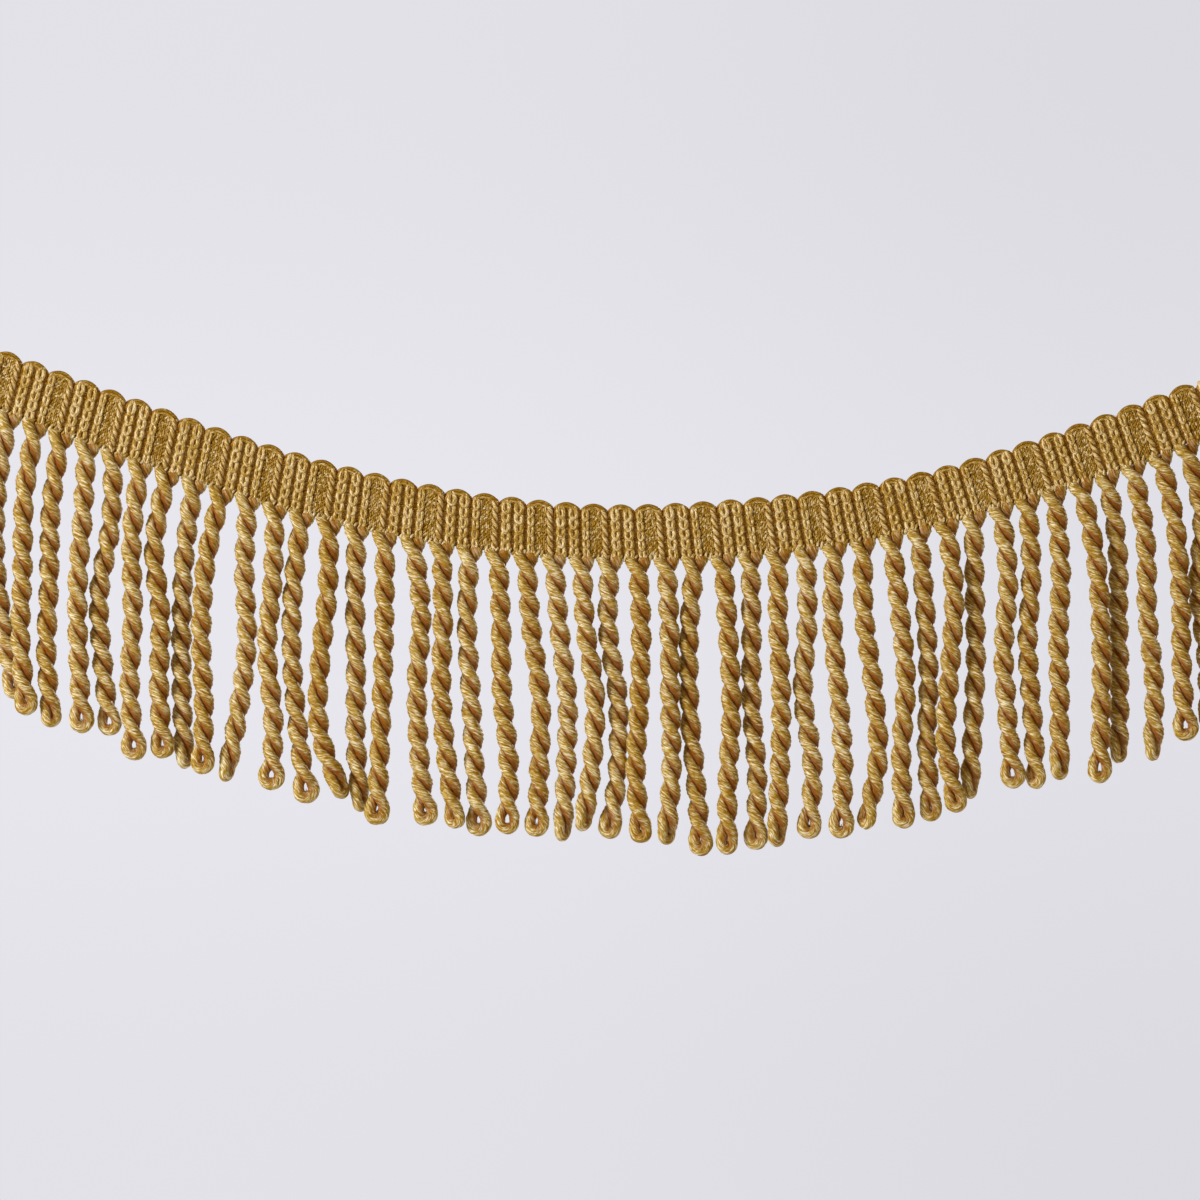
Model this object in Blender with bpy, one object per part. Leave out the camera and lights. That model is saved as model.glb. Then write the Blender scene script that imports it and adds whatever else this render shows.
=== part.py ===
"""Cord fringe trim: a knitted heading with a scalloped top, hung in a swag, and its skirt
of two-ply twisted cords that each end in an eye.

Metres, +Z up. The front faces -Y. The origin is on the heading's flat back, at the middle
of its height where the swag hangs lowest.

Places along the trim are counted in pitches: scallop j of the heading peaks at pitch j,
and a cord hangs below each notch, at pitch j + 0.5.
"""

import bisect
import collections
import math

import bmesh
import bpy
from mathutils import Vector

MM = 0.001  # the two tables are in millimetres
FIRST_PITCH = -1
LAST_PITCH = 45

# The strip that holds the cords' roots, and the gap that parts it from the heading
STRIP_HEIGHT = 0.0013
STRIP_THICKNESS = 0.0020
PARTING = 0.0003

# The heading: its relief is given as depth from the flat back, at steps across one panel
SCALLOP_HEIGHT = 0.0017
TOP_ROUNDING = 0.0012
FOOT_ROUNDING = 0.0008
EDGE_SHARE = 0.55
FLAT_PANEL = (0.0014, 0.0020, 0.0015, 0.0016, 0.0016, 0.0015, 0.0017, 0.0025)
RIBBED_PANEL = (0.0014, 0.0023, 0.0020, 0.0023, 0.0012, 0.0023, 0.0020, 0.0023)

# A cord: two plies side by side, turned about each other
CORD_WIDTH = 0.0046
CORD_THICKNESS = 0.0024
ROOT_WIDTH = 0.0054
ROOT_LENGTH = 0.0022
HALF_TURNS = 10
TWIST_RINGS = 26
EYE_HEIGHT = 0.0084

# The eye at a cord's end: height above its tip as a share of the eye's height, and width
# as a share of the eye's width
EYE_SHAPE = ((1.0, 0.62), (0.68, 1.0), (0.30, 1.0), (0.0, 0.52))

# The swag: the line of the scallops' peaks and the line of the heading's lower edge
Station = collections.namedtuple("Station", "pitch peak_x peak_z foot_x foot_z")
SWAG = (
    (-1, -165.6, 49.4, -169.5, 34.3),
    (2, -145.1, 41.9, -149.2, 26.8),
    (5, -125.1, 34.6, -128.7, 19.1),
    (8, -104.5, 27.3, -107.6, 12.0),
    (11, -84.0, 20.8, -86.7, 5.7),
    (14, -63.4, 15.5, -65.3, 0.3),
    (17, -42.4, 11.4, -43.2, -3.9),
    (20, -21.3, 8.6, -21.3, -6.2),
    (23, -0.3, 7.4, 0.5, -7.3),
    (26, 20.8, 8.2, 22.6, -6.8),
    (29, 41.9, 10.0, 44.2, -4.9),
    (32, 62.9, 13.0, 66.3, -1.8),
    (35, 83.7, 17.4, 87.9, 3.4),
    (38, 104.3, 23.7, 108.9, 9.6),
    (41, 124.5, 30.6, 129.5, 16.1),
    (44, 144.8, 38.2, 150.3, 24.2),
    (46, 158.3, 43.7, 164.1, 29.9),
)

# The cords, from the left. Each sways sideways from its root, by so much a quarter, a half
# and three quarters of the way down and at its tip. It hangs a little forward of the
# heading's middle or behind it, and its eye is turned from the front by an angle.
Cord = collections.namedtuple(
    "Cord", "quarter half three_quarters tip drop forward eye_width eye_degrees"
)
CORDS = (
    (-2.3, -1.8, -2.6, -2.3, 74.1, 0.4, 6.0, 80),
    (-3.1, -3.7, -1.5, 1.8, 73.8, -2.1, 5.8, 12),
    (-2.6, -3.1, -3.6, -1.8, 75.4, 1.6, 6.2, -8),
    (-2.6, -3.1, -3.8, -2.3, 76.2, -0.4, 5.4, 30),
    (-1.1, -2.4, -2.1, -1.1, 74.9, 1.4, 6.6, 8),
    (-0.8, -3.8, -2.8, -0.7, 73.1, -1.2, 6.3, -8),
    (-2.1, -1.8, -2.6, -1.2, 77.0, 1.5, 6.8, 5),
    (-3.4, -1.8, -2.1, -1.0, 74.1, 0.0, 6.4, -5),
    (-2.7, -3.5, -3.4, -2.6, 74.4, -2.8, 6.0, 80),
    (-3.9, -5.2, -4.5, -4.9, 73.6, 1.3, 6.3, 0),
    (-1.0, -0.4, -2.6, -6.2, 73.6, -1.4, 5.4, 84),
    (-0.5, -2.0, -0.4, -1.0, 73.6, 0.6, 7.0, 0),
    (-2.3, -2.6, -1.0, 1.6, 75.1, -0.6, 7.0, 8),
    (-0.4, -2.3, -2.5, 3.9, 72.0, 0.9, 5.8, 66),
    (-0.5, -0.3, -0.3, 1.0, 73.6, -2.4, 5.6, 76),
    (0.0, -0.5, -1.3, -2.1, 75.4, 1.4, 6.7, 4),
    (2.1, 1.0, 1.6, 3.6, 74.1, -0.5, 6.6, 0),
    (0.4, -0.1, 1.3, 3.9, 73.6, 0.9, 5.8, -38),
    (-0.8, 0.2, 1.2, 2.6, 74.4, -0.9, 6.8, 0),
    (0.8, 1.1, 2.8, 2.3, 73.1, 0.7, 6.4, 6),
    (1.3, 3.7, 3.5, 2.6, 73.1, -0.5, 6.5, -6),
    (1.4, 3.5, 3.1, 2.1, 73.8, -1.4, 5.6, 76),
    (0.9, 3.4, 2.6, 0.0, 70.7, 0.9, 5.6, 76),
    (-0.4, 2.1, 2.1, -0.5, 72.3, -1.3, 6.2, 8),
    (0.8, 0.3, -0.6, 1.0, 73.3, 1.5, 6.0, 0),
    (0.8, 1.0, 1.3, -0.3, 73.8, 0.5, 5.6, 60),
    (-1.5, -1.4, 0.3, 1.8, 77.0, -1.6, 6.4, 0),
    (1.3, 2.2, 1.3, 1.0, 77.0, 0.9, 5.8, 12),
    (0.3, 0.3, 1.7, 1.3, 76.4, -1.5, 6.4, -8),
    (0.0, 0.8, 0.4, -0.5, 76.2, 0.9, 5.6, 62),
    (0.3, -0.8, 1.7, 0.5, 75.1, -0.8, 6.5, 0),
    (-0.6, 1.0, 2.2, 1.6, 75.9, 0.5, 6.8, 6),
    (0.3, 2.7, 3.9, 0.3, 74.6, -0.4, 5.8, -58),
    (2.2, 3.8, 2.6, 3.4, 75.7, 0.7, 6.0, 6),
    (1.6, 2.6, 2.2, 3.4, 75.7, -1.8, 5.8, 8),
    (1.9, 0.8, -0.3, 2.9, 75.1, 1.9, 5.8, 0),
    (0.3, 0.6, -0.2, -1.0, 73.6, -1.9, 5.2, 72),
    (1.8, 0.7, 1.7, 3.4, 72.8, 0.7, 6.6, 0),
    (1.0, 0.0, 1.3, 2.3, 75.1, -0.5, 5.8, -48),
    (1.6, 1.1, 1.4, 1.3, 74.9, 0.2, 5.8, 60),
    (3.8, 5.2, 5.3, 4.7, 77.7, 1.8, 6.4, 6),
    (2.9, 3.1, 3.3, 3.1, 74.9, -2.2, 5.6, 70),
    (3.1, 3.6, 5.4, 4.9, 76.7, -0.3, 5.4, 80),
    (3.9, 5.2, 5.5, 6.8, 74.1, 1.2, 6.8, 6),
    (4.1, 3.1, 5.2, 6.0, 73.8, -1.6, 6.0, 30),
    (2.9, 3.4, 4.2, 4.4, 74.9, 0.4, 5.8, 78),
)
SWAY_STATIONS = (0.0, 0.25, 0.5, 0.75, 1.0)
FORWARD_STATIONS = (0.0, 0.22, 1.0)
SLOPE_STEP = 0.01  # share of the drop over which a cord's direction is taken

HEADING_COLOUR = (0.36, 0.22, 0.08, 1.0)
CORD_COLOUR = (0.48, 0.27, 0.07, 1.0)


def smooth(stations, values, at):
    """The value at one place of a smooth curve that passes through every station."""
    last = len(stations) - 1
    low = min(max(bisect.bisect_right(stations, at) - 1, 0), last - 1)

    def slope(index):
        before = max(index - 1, 0)
        after = min(index + 1, last)
        return (values[after] - values[before]) / (stations[after] - stations[before])

    span = stations[low + 1] - stations[low]
    t = (at - stations[low]) / span
    rise = t * t * (3 - 2 * t)
    return (
        values[low] * (1 - rise)
        + values[low + 1] * rise
        + slope(low) * span * t * (1 - t) ** 2
        - slope(low + 1) * span * t * t * (1 - t)
    )


def rib(pitch):
    """A line up the heading at this pitch: its foot, its direction and its height."""
    swag = Station(*zip(*SWAG))
    foot_x = smooth(swag.pitch, swag.foot_x, pitch)
    foot_z = smooth(swag.pitch, swag.foot_z, pitch)
    peak_x = smooth(swag.pitch, swag.peak_x, pitch)
    peak_z = smooth(swag.pitch, swag.peak_z, pitch)
    foot = Vector((foot_x, 0, foot_z)) * MM
    peak = Vector((peak_x, 0, peak_z)) * MM
    return foot, (peak - foot).normalized(), (peak - foot).length


def at_depth(point, depth):
    """The point, brought forward from the plane of the heading's back."""
    return Vector((point.x, -depth, point.z))


def finished_object(name, mesh, colour, roughness):
    """Turns a bmesh into an object with its own material."""
    bmesh.ops.recalc_face_normals(mesh, faces=mesh.faces)
    data = bpy.data.meshes.new(name)
    mesh.to_mesh(data)
    mesh.free()
    material = bpy.data.materials.new(name + "_yarn")
    material.use_nodes = True
    shader = material.node_tree.nodes["Principled BSDF"]
    shader.inputs["Base Color"].default_value = colour
    shader.inputs["Roughness"].default_value = roughness
    shader.inputs["Metallic"].default_value = 0.0
    data.materials.append(material)
    made = bpy.data.objects.new(name, data)
    bpy.context.collection.objects.link(made)
    return made


def heading_column(pitch, relief):
    """The corners of the heading's cross-section on one rib, from the back's top round."""
    foot, up, height = rib(pitch)
    from_peak = 2 * (pitch - round(pitch))
    drop = SCALLOP_HEIGHT * (1 - math.sqrt(max(1 - from_peak**2, 0)))
    top = height - drop
    low = STRIP_HEIGHT + PARTING
    return (
        at_depth(foot + up * top, 0),
        at_depth(foot + up * top, relief * EDGE_SHARE),
        at_depth(foot + up * (top - TOP_ROUNDING), relief),
        at_depth(foot + up * (low + FOOT_ROUNDING), relief),
        at_depth(foot + up * low, relief * EDGE_SHARE),
        at_depth(foot + up * low, 0),
    )


def build_heading():
    """One closed band: each column of points is a cross-section, joined to the next."""
    mesh = bmesh.new()
    steps = len(FLAT_PANEL)
    columns = []
    for index in range((LAST_PITCH - FIRST_PITCH) * steps + 1):
        pitch = FIRST_PITCH + index / steps
        scallop = math.floor(pitch + 0.5)
        across = round((pitch + 0.5 - scallop) * steps)
        panel = FLAT_PANEL if scallop % 2 == 0 else RIBBED_PANEL
        corners = heading_column(pitch, panel[across])
        columns.append([mesh.verts.new(corner) for corner in corners])
    for left, right in zip(columns, columns[1:]):
        for row in range(len(left)):
            below = (row + 1) % len(left)
            mesh.faces.new((left[row], left[below], right[below], right[row]))
    mesh.faces.new(columns[0])
    mesh.faces.new(reversed(columns[-1]))
    return finished_object("heading", mesh, HEADING_COLOUR, 0.75)


def cord_centre(root, cord, down):
    """The middle of a cord, at a share of the way down it."""
    sway = (0, cord.quarter, cord.half, cord.three_quarters, cord.tip)
    forward = (0, cord.forward, cord.forward)
    x = root.x + smooth(SWAY_STATIONS, sway, down) * MM
    depth = STRIP_THICKNESS / 2 + smooth(FORWARD_STATIONS, forward, down) * MM
    return Vector((x, -depth, root.z - cord.drop * MM * down))


def cord_ring(centre, along, width, thickness, angle):
    """Four corners across a cord, which start at its front left when the angle is 0."""
    front = Vector((0, -1, 0))
    front = (front - along * front.dot(along)).normalized()
    right = front.cross(along)
    wide = (right * math.cos(angle) - front * math.sin(angle)) * width / 2
    thick = (front * math.cos(angle) + right * math.sin(angle)) * thickness / 2
    return [
        centre - wide + thick,
        centre + wide + thick,
        centre + wide - thick,
        centre - wide - thick,
    ]


def cord_sections(cord):
    """Share of the way down, width and angle of every ring of a cord below its root."""
    eye_share = EYE_HEIGHT / (cord.drop * MM)
    eye_start = 1 - eye_share
    root_end = ROOT_LENGTH / (cord.drop * MM)
    full_turn = math.radians(180 * HALF_TURNS + cord.eye_degrees)
    for ring in range(TWIST_RINGS):
        down = root_end + (eye_start - root_end) * ring / TWIST_RINGS
        yield down, CORD_WIDTH, full_turn * down / eye_start
    for above_tip, share in EYE_SHAPE:
        yield 1 - above_tip * eye_share, cord.eye_width * MM * share, full_turn


def join_rings(mesh, upper, lower):
    """Two triangles a side. Their shared edge runs with the twist, so no side folds in."""
    for side in range(len(upper)):
        after = (side + 1) % len(upper)
        mesh.faces.new((lower[side], lower[after], upper[after]))
        mesh.faces.new((lower[side], upper[after], upper[side]))


def add_cord(mesh, root_ring, root, cord):
    """Hangs one cord from the four points of its root."""
    upper = root_ring
    for down, width, angle in cord_sections(cord):
        here = cord_centre(root, cord, down)
        above = cord_centre(root, cord, max(down - SLOPE_STEP, 0))
        below = cord_centre(root, cord, min(down + SLOPE_STEP, 1))
        along = (below - above).normalized()
        corners = cord_ring(here, along, width, CORD_THICKNESS, angle)
        lower = [mesh.verts.new(corner) for corner in corners]
        join_rings(mesh, upper, lower)
        upper = lower
    mesh.faces.new(reversed(upper))


def strip_section(mesh, pitch):
    """The strip's cross-section: front foot, back foot, back top, front top."""
    foot, up, _ = rib(pitch)
    top = foot + up * STRIP_HEIGHT
    places = ((foot, STRIP_THICKNESS), (foot, 0), (top, 0), (top, STRIP_THICKNESS))
    return [mesh.verts.new(at_depth(point, depth)) for point, depth in places]


def build_skirt():
    """The strip, with a cord fused to its foot at each root, as one closed solid."""
    mesh = bmesh.new()
    end = strip_section(mesh, FIRST_PITCH)
    mesh.faces.new(end)
    for index, row in enumerate(CORDS):
        cord = Cord(*row)
        middle = FIRST_PITCH + index + 0.5
        root = rib(middle)[0]
        pitch_length = (rib(middle + 0.5)[0] - rib(middle - 0.5)[0]).length
        half = ROOT_WIDTH / pitch_length / 2
        left = strip_section(mesh, middle - half)
        right = strip_section(mesh, middle + half)
        for before, after in ((end, left), (left, right)):
            for side in range(4):
                if before is left and side == 0:
                    continue
                beside = (side + 1) % 4
                mesh.faces.new((before[side], before[beside], after[beside], after[side]))
        add_cord(mesh, [left[0], right[0], right[1], left[1]], root, cord)
        end = right
    last = strip_section(mesh, LAST_PITCH)
    for side in range(4):
        beside = (side + 1) % 4
        mesh.faces.new((end[side], end[beside], last[beside], last[side]))
    mesh.faces.new(reversed(last))
    return finished_object("skirt", mesh, CORD_COLOUR, 0.6)


def main():
    for old in list(bpy.data.objects):
        bpy.data.objects.remove(old)
    trim = bpy.data.objects.new("cord_fringe_trim", None)
    bpy.context.collection.objects.link(trim)
    for piece in (build_heading(), build_skirt()):
        piece.parent = trim


main()
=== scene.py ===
"""The looks of a cord fringe trim: a crochet-knitted heading with a scalloped top, hung in a
swag, over a skirt of two-ply twisted cords that each end in an eye.

Metres, +Z up, and the front faces -Y. Places along the trim are counted in pitches: scallop
j peaks at pitch j, and a cord hangs below each notch, at pitch j + 0.5. Even panels are flat
between two wales, and odd panels are a pair of wales.
"""

import math
from collections import namedtuple

import bpy
import numpy as np
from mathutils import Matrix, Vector


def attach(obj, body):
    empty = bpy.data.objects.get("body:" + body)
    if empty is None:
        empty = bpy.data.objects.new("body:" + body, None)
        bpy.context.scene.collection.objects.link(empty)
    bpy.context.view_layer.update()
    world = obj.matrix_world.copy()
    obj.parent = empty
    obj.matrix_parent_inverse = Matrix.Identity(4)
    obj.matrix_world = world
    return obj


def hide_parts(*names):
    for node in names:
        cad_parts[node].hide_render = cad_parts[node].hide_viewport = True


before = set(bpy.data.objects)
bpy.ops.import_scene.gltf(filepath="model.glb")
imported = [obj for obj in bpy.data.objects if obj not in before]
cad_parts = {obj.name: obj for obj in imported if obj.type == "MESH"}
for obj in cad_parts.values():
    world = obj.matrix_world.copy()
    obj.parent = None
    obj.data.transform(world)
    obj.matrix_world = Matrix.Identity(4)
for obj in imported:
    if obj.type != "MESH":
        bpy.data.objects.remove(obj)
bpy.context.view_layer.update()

MM = 0.001
SEED = 11
FRONT = np.array([0.0, -1.0, 0.0])
FIRST_PITCH = -1
LAST_PITCH = 45
PITCH_LENGTH = 0.0072

# The swag: the line of the scallops' peaks and the line of the heading's lower edge, in mm
Station = namedtuple("Station", "pitch peak_x peak_z foot_x foot_z")
SWAG = (
    (-1, -165.6, 49.4, -169.5, 34.3),
    (2, -145.1, 41.9, -149.2, 26.8),
    (5, -125.1, 34.6, -128.7, 19.1),
    (8, -104.5, 27.3, -107.6, 12.0),
    (11, -84.0, 20.8, -86.7, 5.7),
    (14, -63.4, 15.5, -65.3, 0.3),
    (17, -42.4, 11.4, -43.2, -3.9),
    (20, -21.3, 8.6, -21.3, -6.2),
    (23, -0.3, 7.4, 0.5, -7.3),
    (26, 20.8, 8.2, 22.6, -6.8),
    (29, 41.9, 10.0, 44.2, -4.9),
    (32, 62.9, 13.0, 66.3, -1.8),
    (35, 83.7, 17.4, 87.9, 3.4),
    (38, 104.3, 23.7, 108.9, 9.6),
    (41, 124.5, 30.6, 129.5, 16.1),
    (44, 144.8, 38.2, 150.3, 24.2),
    (46, 158.3, 43.7, 164.1, 29.9),
)

# The cords, from the left, in mm. Each sways sideways from its root, by so much a quarter, a
# half and three quarters of the way down and at its tip. It hangs a little forward of the
# heading's middle or behind it. Its eye is turned from the front by an angle, and is shut where
# its hole has no width.
Cord = namedtuple(
    "Cord", "quarter half three_quarters tip drop forward eye_width eye_degrees hole_width"
)
CORDS = (
    (-2.3, -1.8, -2.6, -2.3, 74.1, 0.4, 6.0, 80, 0.0),
    (-3.1, -3.7, -1.5, 1.8, 73.8, -2.1, 5.8, 12, 0.0),
    (-2.6, -3.1, -3.6, -1.8, 75.4, 1.6, 6.2, -8, 0.0),
    (-2.6, -3.1, -3.8, -2.3, 76.2, -0.4, 5.4, 30, 0.0),
    (-1.1, -2.4, -2.1, -1.1, 74.9, 1.4, 6.6, 8, 0.5),
    (-0.8, -3.8, -2.8, -0.7, 73.1, -1.2, 6.3, -8, 1.0),
    (-2.1, -1.8, -2.6, -1.2, 77.0, 1.5, 6.8, 5, 1.0),
    (-3.4, -1.8, -2.1, -1.0, 74.1, 0.0, 6.4, -5, 0.5),
    (-2.7, -3.5, -3.4, -2.6, 74.4, -2.8, 6.0, 80, 0.0),
    (-3.9, -5.2, -4.5, -4.9, 73.6, 1.3, 6.3, 0, 0.3),
    (-1.0, -0.4, -2.6, -6.2, 73.6, -1.4, 5.4, 84, 0.0),
    (-0.5, -2.0, -0.4, -1.0, 73.6, 0.6, 7.0, 0, 1.1),
    (-2.3, -2.6, -1.0, 1.6, 75.1, -0.6, 7.0, 8, 0.8),
    (-0.4, -2.3, -2.5, 3.9, 72.0, 0.9, 5.8, 66, 0.0),
    (-0.5, -0.3, -0.3, 1.0, 73.6, -2.4, 5.6, 76, 0.0),
    (0.0, -0.5, -1.3, -2.1, 75.4, 1.4, 6.7, 4, 0.3),
    (2.1, 1.0, 1.6, 3.6, 74.1, -0.5, 6.6, 0, 0.3),
    (0.4, -0.1, 1.3, 3.9, 73.6, 0.9, 5.8, -38, 0.0),
    (-0.8, 0.2, 1.2, 2.6, 74.4, -0.9, 6.8, 0, 0.7),
    (0.8, 1.1, 2.8, 2.3, 73.1, 0.7, 6.4, 6, 1.0),
    (1.3, 3.7, 3.5, 2.6, 73.1, -0.5, 6.5, -6, 0.5),
    (1.4, 3.5, 3.1, 2.1, 73.8, -1.4, 5.6, 76, 0.5),
    (0.9, 3.4, 2.6, 0.0, 70.7, 0.9, 5.6, 76, 0.0),
    (-0.4, 2.1, 2.1, -0.5, 72.3, -1.3, 6.2, 8, 0.0),
    (0.8, 0.3, -0.6, 1.0, 73.3, 1.5, 6.0, 0, 0.0),
    (0.8, 1.0, 1.3, -0.3, 73.8, 0.5, 5.6, 60, 0.0),
    (-1.5, -1.4, 0.3, 1.8, 77.0, -1.6, 6.4, 0, 0.0),
    (1.3, 2.2, 1.3, 1.0, 77.0, 0.9, 5.8, 12, 0.0),
    (0.3, 0.3, 1.7, 1.3, 76.4, -1.5, 6.4, -8, 0.0),
    (0.0, 0.8, 0.4, -0.5, 76.2, 0.9, 5.6, 62, 0.0),
    (0.3, -0.8, 1.7, 0.5, 75.1, -0.8, 6.5, 0, 0.3),
    (-0.6, 1.0, 2.2, 1.6, 75.9, 0.5, 6.8, 6, 0.7),
    (0.3, 2.7, 3.9, 0.3, 74.6, -0.4, 5.8, -58, 0.0),
    (2.2, 3.8, 2.6, 3.4, 75.7, 0.7, 6.0, 6, 0.0),
    (1.6, 2.6, 2.2, 3.4, 75.7, -1.8, 5.8, 8, 0.0),
    (1.9, 0.8, -0.3, 2.9, 75.1, 1.9, 5.8, 0, 0.0),
    (0.3, 0.6, -0.2, -1.0, 73.6, -1.9, 5.2, 72, 0.0),
    (1.8, 0.7, 1.7, 3.4, 72.8, 0.7, 6.6, 0, 1.0),
    (1.0, 0.0, 1.3, 2.3, 75.1, -0.5, 5.8, -48, 0.0),
    (1.6, 1.1, 1.4, 1.3, 74.9, 0.2, 5.8, 60, 0.0),
    (3.8, 5.2, 5.3, 4.7, 77.7, 1.8, 6.4, 6, 0.7),
    (2.9, 3.1, 3.3, 3.1, 74.9, -2.2, 5.6, 70, 0.6),
    (3.1, 3.6, 5.4, 4.9, 76.7, -0.3, 5.4, 80, 0.0),
    (3.9, 5.2, 5.5, 6.8, 74.1, 1.2, 6.8, 6, 1.0),
    (4.1, 3.1, 5.2, 6.0, 73.8, -1.6, 6.0, 30, 0.4),
    (2.9, 3.4, 4.2, 4.4, 74.9, 0.4, 5.8, 78, 0.0),
)
SWAY_STATIONS = (0.0, 0.25, 0.5, 0.75, 1.0)
FORWARD_STATIONS = (0.0, 0.22, 1.0)

# A cord is one strand that goes down, round its eye and up again, twisted about itself. It is
# a little thinner sideways at its root and in its eye
PLY_OUT = 0.00156
PLY_SIDE = 0.00163
PLY_SIDE_LOSS = 0.00020
PLY_OVERLAP = 0.00018
PLY_OFFSET = 0.00122
ROOT_OFFSET = 0.0018
ROOT_DEPTH = 0.0010
ROOT_END = 0.0038
ROOT_HIDDEN = 0.0009
LEG_RINGS = 116
SLOPE_STEP = 0.0004

# The twist: the length of a half turn, by how many half turns a cord's turn may stray before it
# is rounded to whole ones, and by how many radians each wave along it runs ahead or behind
HALF_TURN_LENGTH = 0.0070
HALF_TURNS_STRAY = 0.3
TWIST_STRAY = 0.30
TWIST_WAVES = 3

# The yarns that a strand is made of: their number, the groove between them as a share of the
# strand's reach, how they wind about it, and how their thickness comes and goes
COMPONENT_YARNS = 8
POINTS_PER_YARN = 3
YARN_GROOVE = 0.11
YARN_TURNS_PER_METRE = -55
UNEVEN_WAVES = (0.0031, 0.0053)
UNEVEN_SWELL = 0.04

# An eye, in heights above its tip: the twist dies out below the first, and the legs part
# between the other two
TWIST_SETTLES = 0.0076
LEGS_PART = 0.0070
LEGS_APART = 0.0043

# The turn that is left as the twist dies out, the share of an eye's angle that is used, and the
# rings of its bend, which swells inwards by a share
SETTLING_TURN = math.radians(75)
EYE_TURN_SHARE = 0.75
BEND_RINGS = 11
BEND_SWELL = 0.45

# The painted shade on the side that a strand turns to its neighbour grows from none to full over a
# span of its cosine, leans to one flank, and is lifted at the root and in the eye. A point lies in a
# groove, which is painted darker as shade, where the strand's profile is below its lobes' edge
PAINTED_SHADE_SPAN = (-0.60, 0.50)
PAINTED_SHADE_SKEW = 0.40
ROOT_LIFTS_PAINTED_SHADE = 0.4
EYE_LIFTS_PAINTED_SHADE = 0.4
LOBE_EDGE = 0.93
GROOVE_PAINTED_SHADE = 0.25

# How light a cord may be, and how far along its own yarn a cord or a stitch may start, so that
# no two have the same streaks
CORD_LIGHT = (0.36, 0.58)
CORD_START = 0.2
STITCH_START = 0.3

# The points along one of the heading's thin strands, and the sides of its section
THIN_POINTS = 5
THIN_SIDES = 5

# The heading: its scallops' height, the courses of its stitches, and how far from the lower and
# the upper edge a wale ends
SCALLOP_HEIGHT = 0.0016
COURSES = 5
WALE_FOOT = 0.0008
WALE_TOP_GAP = 0.0011


def smooth(stations, values, at):
    """The values at many places of a smooth curve that passes through every station."""
    stations = np.asarray(stations, float)
    values = np.asarray(values, float)
    last = len(stations) - 1
    before = np.maximum(np.arange(last + 1) - 1, 0)
    after = np.minimum(np.arange(last + 1) + 1, last)
    slopes = (values[after] - values[before]) / (stations[after] - stations[before])
    low = np.clip(np.searchsorted(stations, at, side="right") - 1, 0, last - 1)
    span = stations[low + 1] - stations[low]
    t = (at - stations[low]) / span
    rise = t * t * (3 - 2 * t)
    return (
        values[low] * (1 - rise)
        + values[low + 1] * rise
        + slopes[low] * span * t * (1 - t) ** 2
        - slopes[low + 1] * span * t * t * (1 - t)
    )


def ease(low, high, at):
    """0 up to low, 1 from high on, and a smooth step between them."""
    t = np.clip((at - low) / (high - low), 0, 1)
    return t * t * (3 - 2 * t)


def stray(rng, most):
    """A random amount, either way."""
    return rng.uniform(-most, most)


def unit(vectors):
    return vectors / np.linalg.norm(vectors, axis=-1, keepdims=True)


def lengths_along(path):
    """How far along a path each of its points lies."""
    steps = np.linalg.norm(np.diff(path, axis=0), axis=1)
    return np.concatenate(([0], np.cumsum(steps)))


def directions_along(path, outward):
    """The directions straight outwards and sideways from a path, at each of its points."""
    tangent = unit(np.gradient(path, axis=0))
    out = unit(outward - tangent * np.sum(outward * tangent, axis=1, keepdims=True))
    return out, np.cross(tangent, out)


def rib(pitch):
    """Lines up the heading: their feet, their directions and their heights."""
    swag = Station(*zip(*SWAG))
    pitch = np.asarray(pitch, float)
    flat = np.zeros_like(pitch)
    foot = [smooth(swag.pitch, swag.foot_x, pitch), flat, smooth(swag.pitch, swag.foot_z, pitch)]
    peak = [smooth(swag.pitch, swag.peak_x, pitch), flat, smooth(swag.pitch, swag.peak_z, pitch)]
    foot = np.stack(foot, -1) * MM
    peak = np.stack(peak, -1) * MM
    height = np.linalg.norm(peak - foot, axis=-1)
    return foot, unit(peak - foot), height


def on_heading(pitch, rise, depth):
    """Points at a height up the heading's ribs and a depth in front of its back."""
    pitch, rise, depth = np.broadcast_arrays(pitch, rise, depth)
    foot, up, _ = rib(pitch)
    points = foot + up * rise[..., None]
    points[..., 1] = -depth
    return points


def scallop_drop(pitch):
    """How far the scalloped top lies below its peaks."""
    return SCALLOP_HEIGHT * (2 * (pitch - np.round(pitch))) ** 2


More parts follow.
